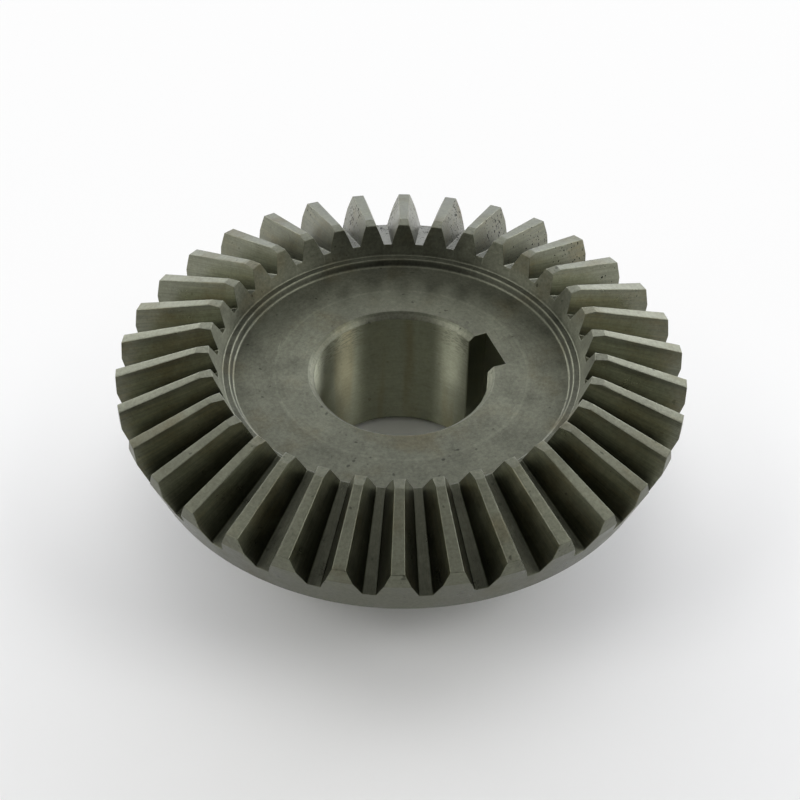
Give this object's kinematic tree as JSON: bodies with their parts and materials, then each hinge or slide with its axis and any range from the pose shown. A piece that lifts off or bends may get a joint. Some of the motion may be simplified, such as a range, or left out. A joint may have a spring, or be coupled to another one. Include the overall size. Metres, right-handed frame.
{
  "type": "bevel gear",
  "caption": "One-piece straight bevel gear with a plain hub, a dished front web and a keyed bore, for turning a shaft drive through a right angle.",
  "frame": {"origin": "centre of the bore at the hub's back face, which the gear stands on", "axes": "+Z along the bore from the hub towards the teeth; +X through the middle of the keyway"},
  "size_m": [0.136, 0.1362, 0.0459],
  "materials": {
    "machined_steel": "oiled machined steel, satin, with turning marks on the turned faces"
  },
  "bodies": {
    "root": {"bevel_gear": "machined_steel"}
  },
  "joints": []
}
